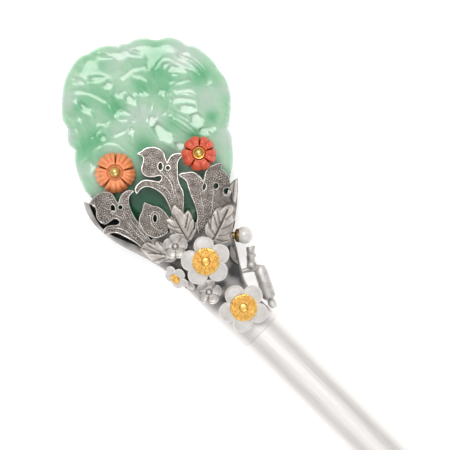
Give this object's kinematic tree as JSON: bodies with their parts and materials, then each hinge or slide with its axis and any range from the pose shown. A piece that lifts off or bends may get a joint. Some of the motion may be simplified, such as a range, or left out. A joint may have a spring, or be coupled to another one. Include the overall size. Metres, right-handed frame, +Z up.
{
  "type": "binyeo hairpin",
  "caption": "Hairpin with a round straight shaft and a pierced silver cup that holds a carved jade plaque, with blossoms at the neck.",
  "frame": {"origin": "on the shaft's axis, where the bare cylindrical shaft leaves the ferrule of the head", "axes": "+X along the shaft to its tip, +Z up out of the front of the head, away from the surface that the pin lies on"},
  "size_m": [0.1891, 0.0459, 0.0176],
  "materials": {
    "satin_silver": "satin silver, very finely brushed along its length",
    "oxidised_silver": "cast silver, darkened in its hollows and bright on its raised rims",
    "jade": "polished, translucent, apple green clouded with white",
    "pearly_petal": "smooth grey-white with a soft pearly sheen",
    "gilt": "bright grainy gilding",
    "gold": "polished pale gold",
    "orange_coral": "satin polished orange coral",
    "red_coral": "polished red coral",
    "pearl": "lustrous grey-white pearl",
    "cap_gold": "dull brown-gold"
  },
  "bodies": {
    "root": {"shaft": "satin_silver", "cup": "oxidised_silver", "jade_plaque": "jade", "plum_blossom_upper": "pearly_petal", "plum_blossom_lower": "pearly_petal", "plum_blossom_side": "pearly_petal", "stamen_disc_upper": "gilt", "stamen_disc_lower": "gilt", "stamen_disc_side": "gilt", "silver_flower_upper": "oxidised_silver", "silver_flower_lower": "oxidised_silver", "coral_flower_orange": "orange_coral", "coral_flower_red": "red_coral", "gold_centre_orange": "gold", "gold_centre_red": "gold", "pearl": "pearl", "pearl_cap": "cap_gold", "bamboo_sprig": "oxidised_silver"}
  },
  "joints": []
}
